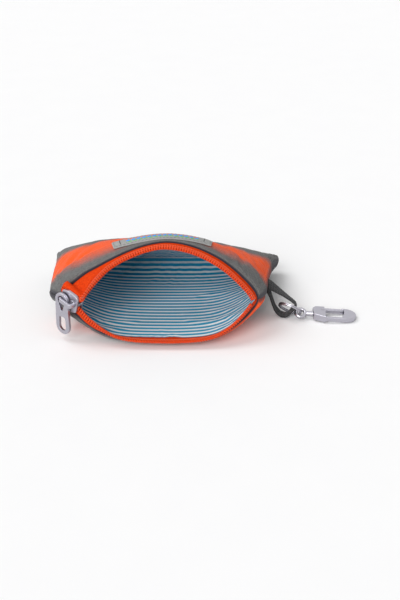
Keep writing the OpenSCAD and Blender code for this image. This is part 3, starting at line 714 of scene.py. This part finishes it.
# %% Measures of the zip
COIL_W, COIL_T, COIL_REACH = 2.9, 1.9, 3.9
SLIDER_L, SLIDER_W, YAW, DIP_DOWN = 11.0, 10.0, math.radians(40), math.radians(16)
COIL_D = LAYER_GAP + TAPE_T / 2        # how deep the tape lies below the panel
# half of the distance between the two coils, closed and at the slider's throat
CLOSED, PARTED = (COIL_W + 0.05) / 2, {1: 3.15, -1: 2.35}
# where the closed stretch begins and the slider's throat ends, along the slider
TAIL_U, THROAT_U = -SLIDER_L / 2 - 1.6, SLIDER_L / 2
# the same over the width of the pouch, then where each half has reached its rim, and the right end
C_THROAT, C_MOUTH, C_RIGHT, C_SEWN, C_END = -0.86, -0.58, 1.0, -0.998, 0.95
FAN = {1: math.radians(75), -1: math.radians(26)}      # how steeply the halves part
SLOT_W, TAPE_PAST, FRONT_TOP = SLIDER_W / 2 + 0.4, 0.4, 2.3
FACE_TILT = math.radians(28)           # how far the upper coil's face looks down
TUCK = 1.0                             # the tape's end beyond the coil, tucked down to the seam

# the slider's place, and its directions: along the zip, up and out of its face
slider_pos = np.array([-(MOUTH_LEFT - 12), -FRONT - 2, MOUTH_H + 2.4])
level = np.array([math.cos(YAW), -math.sin(YAW), 0])
along_zip = level * math.cos(DIP_DOWN) - np.array([0, 0, math.sin(DIP_DOWN)])
up_slider = level * math.sin(DIP_DOWN) + np.array([0, 0, math.cos(DIP_DOWN)])
out_slider = np.cross(along_zip, up_slider)
print("slider at", slider_pos.round(1), "mm")

# %% Coil along the rim
def reach_from_rim(c, side):
    """How far the middle of the coil lies in front of the fabric's rim."""
    if side < 0:
        return COIL_REACH
    return (1.9 + 0.5 * smoothstep((-0.45 - c) / 0.2) + 0.4 * smoothstep((c + 0.15) / 0.3)
            + 0.3 * smoothstep((c - 0.2) / 0.5))

def along_rim(c, side):
    shift = ripple(c, 0.0, side) + fill(c, 0.0, side)
    return skin(c, -reach_from_rim(c, side) / DEPTH, COIL_D, side) + shift

def rim_route(c, side):
    """The coil along the rim, with both ends drawn together at the right."""
    if c < C_END:
        return along_rim(c, side)
    start, end = along_rim(C_END, side), along_rim(1.0, side) + [0, 0, side * 0.7]
    leaving = (start - along_rim(C_END - 0.004, side)) / 0.004 * (1 - C_END)
    arriving = np.array([0.2, -0.2, -side * 0.9]) * np.linalg.norm(end - start)
    return bend(start, leaving, end, arriving, (c - C_END) / (1 - C_END))

print("right end of the upper coil:", rim_route(1.0, 1).round(1))

# %% Coil through the slider
def coil_u(c):
    """The place along the slider, for the stretch that the slider holds."""
    return mix(TAIL_U, THROAT_U, (c + 1) / (C_THROAT + 1))

def apart(u, side):
    return mix(CLOSED, PARTED[side], smoothstep((u + 3.2) / (3.4 if side < 0 else 8.0)))

def coil_point(c, side):
    """The middle of a coil: straight in the slider, one bend, and then along the rim."""
    if c <= C_THROAT:
        return slider_pos + coil_u(c) * along_zip + side * apart(coil_u(c), side) * up_slider
    if c >= C_MOUTH:
        return rim_route(c, side)
    start = slider_pos + THROAT_U * along_zip + side * PARTED[side] * up_slider
    end = rim_route(C_MOUTH, side)
    fan = along_zip * math.cos(FAN[side]) + up_slider * side * math.sin(FAN[side])
    leaving = np.linalg.norm(end - start) * fan
    arriving = (rim_route(C_MOUTH + 0.01, side) - end) / 0.01 * (C_MOUTH - C_THROAT)
    return bend(start, leaving, end, arriving, (c - C_THROAT) / (C_MOUTH - C_THROAT))

print("coil in the slider's throat:", coil_point(C_THROAT, 1).round(1))

# %% Lie of the tape
def wrap(c):
    """1 where the tape bends round the slider, and 0 where it lies flat in the rim."""
    return 1 - smoothstep((c - C_THROAT) / (C_MOUTH - C_THROAT))

def sewn(c):
    """Where along the rim the tape is sewn in, which stops just short of the left seam."""
    return max(mix(C_SEWN, C_THROAT, (c + 1) / (C_THROAT + 1)), C_SEWN) if c < C_THROAT else c

def tape_turn(c, side, back, share):
    """A point between the coil and the rim, or behind the slider's edge where it wraps that."""
    coil = coil_point(c, side)
    high = SLOT_W
    if side > 0 and coil_u(c) < TAIL_U:
        high = mix(1.4, SLOT_W, smoothstep((coil_u(c) - TAIL_U + TUCK) / TUCK))
    beside = apart(coil_u(c), side) if c <= C_THROAT else PARTED[side]
    past = coil + side * up_slider * (high - beside)
    flat = mix(coil, fabric(sewn(c), 0.0, COIL_D, side), share)
    return mix(flat, past - back * out_slider, wrap(c))

def zip_frame(c, side):
    """Unit vectors at a point of the coil: along it, over the tape, and out of its face."""
    ahead = coil_point(min(c + 0.004, C_RIGHT), side) - coil_point(max(c - 0.004, -1), side)
    ahead = ahead / np.linalg.norm(ahead)
    over = tape_turn(c, side, 0, 0.5) - coil_point(c, side)
    over = over - ahead * (over @ ahead)
    over = over / np.linalg.norm(over)
    out = np.cross(ahead, over)
    tilt = FACE_TILT * (1 - wrap(c)) if side > 0 else 0.0
    return (ahead, over * math.cos(tilt) + out * math.sin(tilt),
            out * math.cos(tilt) - over * math.sin(tilt))

def even_route(side, step):
    """Values of c at even distances along the coil, and the coil's whole length."""
    c = np.linspace(-1.0, C_RIGHT, 900)
    run = run_of(np.array([coil_point(v, side) for v in c]))
    n = int(run[-1] / step)
    return np.interp(np.arange(n + 1) * step, run, c), run[-1]

print("length of the upper half of the zip in mm:", round(float(even_route(1, 1.0)[1]), 1))

# %% [markdown]
# ## Woven tape
# Zip tape is a dense twill with a herringbone look. Slanted ribs that change direction across the
# tape give that in the bump, and the colour follows the same ribs as painted shade, darker in their
# grooves. Small changes of colour from thread to thread keep it from looking like plastic. The sheet
# leaves the coil flat, bends round the slider, and runs under the fabric rim.

# %% Tape finish
HERRINGBONE, TWILL = 2.2, 0.55         # width of one lane of slanted ribs, and of one rib
tape_finish = Finish("woven zip tape", Roughness=0.80, Specular_IOR_Level=0.12)
along, run = tape_finish.uv()
lane = tape_finish.calc("FRACT", tape_finish.calc("DIVIDE", run, HERRINGBONE))
lane = tape_finish.calc("ABSOLUTE", tape_finish.calc("SUBTRACT", lane, 0.5))
slant = tape_finish.calc("ADD", tape_finish.calc("DIVIDE", along, TWILL),
                         tape_finish.calc("MULTIPLY", lane, 4.0))
ribs = tape_finish.calc("MULTIPLY", tape_finish.wave(slant, 1.0), 0.22)
# the colour uses the ribs too: painted shade, darker in their grooves, over noise from thread to thread
shade = tape_finish.calc("ADD", ribs, tape_finish.noise(1100.0, 2.0))
tape_finish.shows("Base Color", tape_finish.blend(tape_finish.spread(shade, 0.1, 0.9),
                                                  (0.48, 0.026, 0.001), (0.78, 0.060, 0.002)))
tape_finish.shows("Normal", tape_finish.bump(shade, 0.00010, 0.8))
print("tape ribs:", TWILL, "mm")

# %% Tapes
TAPE_STEP, TUCK_STEPS = 0.7, 7         # from column to column of the tape, and columns in its tuck

def tape(name, side, node):
    """One half's tape: from the coil, round the slider's edge or flat, and in under the rim."""
    c_list, _ = even_route(side, TAPE_STEP)
    tucked = []
    if side > 0:
        beyond = np.linspace(1, 0.1, TUCK_STEPS) * TUCK
        tucked = -1 - beyond * (C_THROAT + 1) / (THROAT_U - TAIL_U)
    lines = []
    for c in np.concatenate([tucked, c_list, [C_RIGHT]]):
        ahead, over, out = zip_frame(c, side)
        line = [coil_point(c, side) + over * (COIL_W / 2 + LAYER_GAP), tape_turn(c, side, 0, 0.5),
                tape_turn(c, side, FRONT_TOP + TAPE_PAST, 0.75)]
        line += [fabric(sewn(c), t, COIL_D, side) for t in (0.0, 0.025, 0.05, 0.075, 0.1)]
        lines.append(line)
    middle = spline(np.array(lines).transpose(1, 0, 2), 4)
    normal = np.cross(np.gradient(middle, axis=1), np.gradient(middle, axis=0))
    normal /= np.maximum(np.linalg.norm(normal, axis=2, keepdims=True), 1e-9)
    steps = np.linalg.norm(np.diff(middle, axis=0), axis=2)
    run = np.concatenate([np.zeros((1, middle.shape[1])), np.cumsum(steps, axis=0)])
    uv = np.stack(np.broadcast_arrays(run_of(middle[0])[None, :], run), -1)
    made = shell(name, middle + normal * TAPE_T / 2, middle - normal * TAPE_T / 2, uv,
                 finish=tape_finish, slot="tape")
    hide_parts(node)
    return made

for side, word in ((1, "upper"), (-1, "lower")):
    made = tape(word + "_zip_tape", side, word + "_tape")
    print(made.name, len(made.data.vertices), "points")

# %% [markdown]
# ## Coils
# A coil zip has no separate teeth: one plastic filament is wound in flat loops along the edge of each
# tape, and a sewing thread holds it down. The filament is a tube along a flattened helix, with one
# turn for each rib. Every stitch of the thread crosses between two turns.

# %% Nylon and thread
coil_finish = Finish("moulded nylon", Roughness=0.42, Specular_IOR_Level=0.32)
coil_finish.shows("Base Color", coil_finish.flecked(400.0, (0.62, 0.036, 0.001), (0.78, 0.068, 0.002)))
coil_finish.shows("Normal", coil_finish.bump(coil_finish.noise(1500.0, 2.0), 0.00003, 0.5))
thread_finish = Finish("sewing thread", Roughness=0.6, Sheen_Weight=0.2)
thread_finish.shows("Base Color",
                    thread_finish.flecked(700.0, (0.64, 0.055, 0.004), (0.84, 0.11, 0.015)))
print("nylon and thread ready")

# %% Coils
PITCH, FILAMENT, RIDGE = 1.3, 0.36, 0.47       # one turn, and the filament's two half widths
TURN_STEPS, COIL_SIDES = 14, 8
LEAN_OVER = 0.16                               # how far a loop leans along the coil

def coil(name, side, node):
    """A filament wound in flat loops along one half of the zip."""
    c_list, length = even_route(side, PITCH / TURN_STEPS)
    line, ups = [], []
    for i, c in enumerate(c_list):
        ahead, over, out = zip_frame(c, side)
        a = 2 * math.pi * i / TURN_STEPS
        line.append(coil_point(c, side) + over * (COIL_W / 2 - FILAMENT) * math.cos(a)
                    + out * (COIL_T / 2 - FILAMENT) * math.sin(a) + ahead * LEAN_OVER * math.sin(2 * a))
        ups.append(ahead)
    loops = tube_points(np.array(line), np.array(ups), FILAMENT, RIDGE, COIL_SIDES)
    made = add_tubes(name, [loops], finish=coil_finish, slot="coil")
    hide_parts(node)
    print(name, "has", int(length / PITCH), "turns")

# %% Stitches on the coils
STITCH_RINGS, STITCH_SIDES = 7, 6
stitch_run = np.linspace(-1, 1, STITCH_RINGS)

def stitches(name, side):
    """Two rows of stitches, one stitch between every two turns of the coil."""
    c_list, _ = even_route(side, PITCH)
    thick = 0.21 * np.sqrt(np.maximum(0.05, 1 - stitch_run ** 4))
    made = []
    for c in c_list[:-1]:
        ahead, over, out = zip_frame(c, side)
        for row in (0.12, 0.86):
            mid = coil_point(c, side) + ahead * PITCH * 0.5 + over * row + out * (COIL_T / 2 - 0.12)
            line = np.array([mid + ahead * f * 0.62 - out * 0.28 * (f * f) for f in stitch_run])
            made.append(tube_points(line, out, thick, thick, STITCH_SIDES))
    add_tubes(name, made, finish=thread_finish, slot="coil")
    print(name, "has", len(made), "stitches")

for side, word in ((1, "upper"), (-1, "lower")):
    coil(word + "_zip_coil", side, word + "_coil")
    stitches(word + "_coil_thread", side)

# %% [markdown]
# ## Woven label
# A label is a dense woven strip, folded under at its edges and sewn down near the rim. It follows the
# curve of the panel, and is thinnest at its sewn edge, so the border sinks in a little. Its pattern
# here is a plain row of small woven dashes in three colours.

# %% Label cloth
LABEL_W, LABEL_D, LABEL_T = 49.0, 8.0, 0.55
LABEL_MID, LABEL_FROM, LABEL_BOW = -2.1, 0.8, 3.0      # its place on the rim, and how it bows back
DASH_PITCH, DASH_SHARE, DASHES_TO = 2.6, 0.66, 18.0
label_finish = Finish("woven_label", Roughness=0.7, Specular_IOR_Level=0.3, Sheen_Weight=0.1)
along, across = label_finish.uv()

def inside_of(value, low, high, soft):
    """1 between low and high."""
    return label_finish.calc("MULTIPLY", label_finish.spread(value, low - soft, low + soft),
                             label_finish.spread(value, high + soft, high - soft))

def dashes(low, high, shift):
    """A row of dashes, between two distances from the label's front edge."""
    part = label_finish.calc("DIVIDE", label_finish.calc("ADD", along, shift + 100), DASH_PITCH)
    dash = label_finish.calc("LESS_THAN", label_finish.calc("FRACT", part), DASH_SHARE)
    dash = label_finish.calc("MULTIPLY", dash, inside_of(along, -DASHES_TO, DASHES_TO, 0.05))
    return label_finish.calc("MULTIPLY", inside_of(across, low, high, 0.08), dash)

paint = label_finish.flecked(900.0, (0.25, 0.25, 0.245), (0.40, 0.40, 0.39))
for low, high, shift, colour in ((1.9, 2.7, 0.0, (0.06, 0.48, 0.08)),
                                 (3.1, 4.7, 0.8, (0.0, 0.30, 0.90)),
                                 (5.1, 6.0, 1.6, (0.92, 0.13, 0.01))):
    paint = label_finish.blend(dashes(low, high, shift), paint, colour)
bars = label_finish.calc("ADD", inside_of(along, -20.9, -20.4, 0.06),
                         inside_of(along, 20.4, 20.9, 0.06))
bars = label_finish.calc("MULTIPLY", bars, inside_of(across, 1.6, 6.6, 0.1))
label_finish.shows("Base Color", label_finish.blend(bars, paint, (0.06, 0.06, 0.06)))
weave = label_finish.calc("MULTIPLY", label_finish.wave(across, 0.36), label_finish.wave(along, 0.42))
label_finish.shows("Normal", label_finish.bump(weave, 0.00006, 0.8))
print("label nodes:", len(label_finish.tree.nodes))

# %% Label
SEWN_IN, SINK = 0.9, 0.22              # how far in the stitches lie, and how deep they pull

def on_label(x, y, up):
    """A point of the label: x along it, y from its front edge, up above the panel's face."""
    t = (LABEL_FROM + LABEL_BOW * (2 * x / LABEL_W) ** 2 + y) / DEPTH
    back = np.asarray((LABEL_FROM + LABEL_D) / DEPTH)
    c = (LABEL_MID + x) / half_width(np.asarray(LABEL_MID + x), back)
    lift = np.maximum(sewn_marks(c, t, 1), 0)
    return fabric(c, t, -PANEL_T - up - lift - 0.06, 1)

x = np.linspace(-LABEL_W / 2, LABEL_W / 2, 140)[None, :]
y = np.linspace(0, LABEL_D, 34)[:, None]
from_edge = np.minimum(LABEL_W / 2 - np.abs(x), np.minimum(y, LABEL_D - y))
thick = (LABEL_T * (0.55 + 0.45 * smoothstep(from_edge / 0.5))
         - SINK * np.exp(-((from_edge - SEWN_IN) / 0.28) ** 2))
uv = np.stack(np.broadcast_arrays(x, y), -1)
label = shell("woven_label", on_label(x, y, thick), on_label(x, y, 0.0 * thick), uv,
              finish=label_finish, slot="label")
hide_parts("label_patch")
print("label", LABEL_W, "x", LABEL_D, "mm")

# %% [markdown]
# ## Stitches round the label
# A machine stitch is a short thread that dives into the cloth at both ends. Each one is a small bent
# tube on the label's own surface, so the seam follows the curve of the rim. All of them are joined to
# one piece, because hundreds of objects would only slow the scene down.

# %% Stitches round the label
STITCH_L, STITCH_GAP = 1.35, 0.5
stitch_f = np.linspace(0, 1, STITCH_RINGS)
seam = []

def label_stitch(x0, y0, x1, y1):
    up = LABEL_T * 0.55 + 0.16 * (1 - (2 * stitch_f - 1) ** 2)
    line = on_label(mix(x0, x1, stitch_f), mix(y0, y1, stitch_f), up)
    seam.append(tube_points(line, (0, -0.4, 0.9), 0.15, 0.13, STITCH_SIDES))

left, right = -LABEL_W / 2 + SEWN_IN, LABEL_W / 2 - SEWN_IN
front, back = SEWN_IN, LABEL_D - SEWN_IN
for x0 in np.arange(left, right - STITCH_L, STITCH_L + STITCH_GAP):
    for y0 in (front, back):
        label_stitch(x0, y0, x0 + STITCH_L, y0)
for y0 in np.arange(front + 0.4, back - STITCH_L, STITCH_L + STITCH_GAP):
    for x0 in (left, right):
        label_stitch(x0, y0, x0, y0 + STITCH_L)
grey_thread = Finish("grey thread", Roughness=0.6, Sheen_Weight=0.2)
grey_thread.shows("Base Color", grey_thread.flecked(700.0, (0.10, 0.10, 0.10), (0.20, 0.20, 0.195)))
add_tubes("label_stitches", seam, finish=grey_thread, slot="label")
print("stitches round the label:", len(seam))

# %% [markdown]
# ## Webbing loop
# Ribbed webbing is woven with a thick cross thread, which leaves a ridge about every 0.9 mm and a
# smoother bound edge on each side. The strip is swept along the CAD's route, wide and turned where it
# leaves the seam, and drawn together where it passes through the ring. Here the ridges are real form,
# so that they show on the edge of the loop too.

# %% Line of the webbing
WEB_W, WEB_NECK, WEB_T = 7.5, 4.8, 1.1         # its width at the seam and in the ring, and thickness
WEB_Y, WEB_RING_Y, WEB_TILT = -4.0, -9.1, 25.0
RIB = 0.95
# the strip's middle, as x and z
web_mid = np.array([[52.3, 17.6], [54.6, 16.6], [57.6, 14.9], [61.4, 12.8], [64.8, 10.6],
                    [67, 8.6], [67, 6.6], [65.2, 4.4], [63.6, 2.2], [61.6, 1.1],
                    [59.2, 1.5], [56.8, 4], [55.2, 8], [53.9, 12], [52.3, 15.5]])
line = spline(web_mid, 60)
run = run_of(line)
s = np.arange(0, run[-1], 0.09)
line = np.stack([np.interp(s, run, line[:, k]) for k in (0, 1)], 1)
way = np.gradient(line, axis=0)
way /= np.linalg.norm(way, axis=1)[:, None]
print("webbing length in mm:", round(float(s[-1]), 1))

# %% Width and turn of the webbing
from_root = (line[:, 0] - line[0, 0]) / (line[:, 0].max() - line[0, 0])
far = smoothstep(from_root)            # 0 at the seam and 1 in the ring
tilt = np.radians(WEB_TILT) * (1 - far)
mid = np.stack([line[:, 0], mix(WEB_Y, WEB_RING_Y, far), line[:, 1]], 1)
half = mix(WEB_W, WEB_NECK, smoothstep(1.25 * from_root)) / 2
wide = np.stack([np.zeros_like(tilt), np.cos(tilt), np.sin(tilt)], 1)
thick = np.cross(np.stack([way[:, 0], np.zeros(len(way)), way[:, 1]], 1), wide)
thick /= np.linalg.norm(thick, axis=1)[:, None]
print("webbing is", WEB_W, "mm wide at the seam and", WEB_NECK, "mm in the ring")

# %% Ridges of the webbing
across = np.array([-1, -0.97, -0.9, -0.7, -0.45, -0.2, 0, 0.2, 0.45, 0.7, 0.9, 0.97, 1])
bound_edge = np.sqrt(1 - np.clip(np.abs(across), 0, 0.985) ** 8)
inside_edge = np.clip((1 - np.abs(across)) * 8, 0, 1)
ridge = 0.5 + 0.5 * np.cos(2 * np.pi * s / RIB)
puff = WEB_T / 2 * bound_edge[None, :] * (0.66 + 0.34 * ridge[:, None] * inside_edge[None, :])
# the drawn-in part cups a little over its width
cup = 0.35 * far[:, None] * (across[None, :] ** 2 - 0.5)
place = half[:, None] * across[None, :]
centre = mid[:, None] + wide[:, None] * place[..., None] - thick[:, None] * cup[..., None] * 0.5
out = thick[:, None] * puff[..., None]
uv = np.stack(np.broadcast_arrays(place, s[:, None]), -1)
print("ridges:", int(s[-1] / RIB))

# %% Webbing
web_finish = Finish("ribbed webbing", Roughness=0.8, Specular_IOR_Level=0.25, Sheen_Weight=0.15)
u, v = web_finish.uv()
# the colour is lighter on each ridge and darker between ridges: painted highlight and shade, over noise
# in the black yarn
rib = web_finish.calc("COSINE", web_finish.calc("MULTIPLY", v, 2 * math.pi / RIB))
rib_shading_and_tone = web_finish.calc("ADD", web_finish.calc("MULTIPLY", rib, 0.35), web_finish.noise(900.0, 2.0))
web_finish.shows("Base Color", web_finish.blend(web_finish.spread(rib_shading_and_tone, 0.1, 0.95),
                                                (0.004, 0.004, 0.005), (0.055, 0.056, 0.059)))
yarns = web_finish.calc("ADD", web_finish.wave(u, 0.32), web_finish.noise(1500.0, 2.0))
web_finish.shows("Normal", web_finish.bump(yarns, 0.00006, 0.8))
web = shell("ribbed_webbing", centre + out, centre - out, uv, finish=web_finish, slot="webbing")
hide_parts("webbing_loop")
print("webbing:", len(web.data.vertices), "points")

# %% [markdown]
# ## Satin nickel
# Slider, ring and hook are plated with nickel and left satin. Metal has no colour of its own apart from
# what it reflects, so roughness does most of the work. Slow noise changes it a little from place to
# place, as handling does, and a very fine bump gives the grain of the casting.

# %% Metal finishes
def metal(name, colour, rough, grain=0.00001):
    """A plated metal of a given roughness, with grain as the height of its bump in metres."""
    made = Finish(name, Metallic=1.0)
    lighter = tuple(value * 1.10 for value in colour)
    worn = made.spread(made.noise(160.0, 3.0), 0.3, 0.7, rough - 0.05, rough + 0.08)
    made.shows("Base Color", made.blend(made.noise(90.0, 3.0), colour, lighter))
    made.shows("Roughness", worn)
    made.shows("Normal", made.bump(made.noise(700.0, 3.0), grain, 0.7))
    return made

cast_metal = metal("satin nickel casting", (0.42, 0.41, 0.46), 0.36, grain=0.00002)
wire_metal = metal("satin nickel wire", (0.42, 0.41, 0.45), 0.28)
spring_metal = metal("spring wire", (0.42, 0.42, 0.44), 0.30)
print("metals ready")

# %% [markdown]
# ## Split ring
# A split ring is one flattened wire wound twice, with a jog where it steps from the first turn to the
# second. Sweeping a rounded section along two turns shows the line between them and both cut ends,
# which a plain torus lacks.

# %% Wire of the split ring
RING_D, RING_WIRE, RING_H = 13.0, 1.1, 1.5
RING_SIDES, SQUARE = 16, 0.55          # the wire's section, and how square it is rolled
ring_pos = np.array([64.44, -8.42, 5.21])
turn = np.radians(np.arange(0, 652, 4.0))
step_up = mix(-RING_H / 4, RING_H / 4, smoothstep((np.degrees(turn) - 300) / 50))
radius = RING_D / 2 - RING_WIRE / 2
middle = np.stack([radius * np.cos(turn), radius * np.sin(turn), step_up], 1)
outwards = np.stack([np.cos(turn), np.sin(turn), np.zeros_like(turn)], 1)

def rolled(value):
    """A circle's coordinate, pushed out towards a square with round corners."""
    return np.sign(value) * np.abs(value) ** SQUARE

corner = np.linspace(0, 2 * np.pi, RING_SIDES, endpoint=False)
section_out = RING_WIRE / 2 * rolled(np.cos(corner))
section_up = (RING_H / 4 - 0.01) * rolled(np.sin(corner))
rings = (middle[:, None] + outwards[:, None] * section_out[None, :, None]
         + np.array([0, 0, 1.0]) * section_up[None, :, None])
print("split ring:", round(float(np.degrees(turn[-1]))), "degrees of wire")

# %% Split ring
ring_tilt, ring_turn = math.radians(45.3), math.radians(57)
tilt = np.array([[math.cos(ring_tilt), 0, math.sin(ring_tilt)],
                 [0, 1, 0],
                 [-math.sin(ring_tilt), 0, math.cos(ring_tilt)]])
spin = np.array([[math.cos(ring_turn), -math.sin(ring_turn), 0],
                 [math.sin(ring_turn), math.cos(ring_turn), 0],
                 [0, 0, 1]])
rings = rings @ (spin @ tilt).T + ring_pos
split = add_tubes("wound_ring", [rings], finish=wire_metal, slot="wire", body="ring")
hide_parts("split_ring")
print("ring's middle:", ring_pos, "mm")

# %% [markdown]
# ## Metal castings
# The slider, pull, hook and gate come from the CAD with the right shape, but with edges that no
# casting has. Here each is rebuilt in voxels an eighth of a millimetre wide and then smoothed a little.
# That rounds every edge and inner corner by about the same amount, which is what tumbling and plating
# do to a real casting. The wire parts are round already, and only get their finish.

# %% Castings
VOXEL = 0.13           # millimetres
SMOOTHING = {"slider_body": 9, "slider_bridge": 12, "pull_tab": 14, "hook_body": 24, "hook_gate": 12}

def dress(node, finish, passes=0):
    """Give a CAD node its finish, and round its edges by a number of smoothing passes."""
    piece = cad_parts[node]
    piece.data.materials.clear()
    piece.data.materials.append(finish.material)
    if passes:
        voxels = piece.modifiers.new("voxels", "REMESH")
        voxels.mode = "VOXEL"
        voxels.voxel_size = VOXEL * MM
        voxels.use_smooth_shade = True
        tumble = piece.modifiers.new("tumbled edges", "SMOOTH")
        tumble.factor = 0.5
        tumble.iterations = passes

for node, passes in SMOOTHING.items():
    dress(node, cast_metal, passes)
for node in ("swivel_eye", "swivel_head", "gate_pin"):
    dress(node, wire_metal)
dress("gate_spring", spring_metal)
print("castings:", sorted(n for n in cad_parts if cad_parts[n].modifiers))
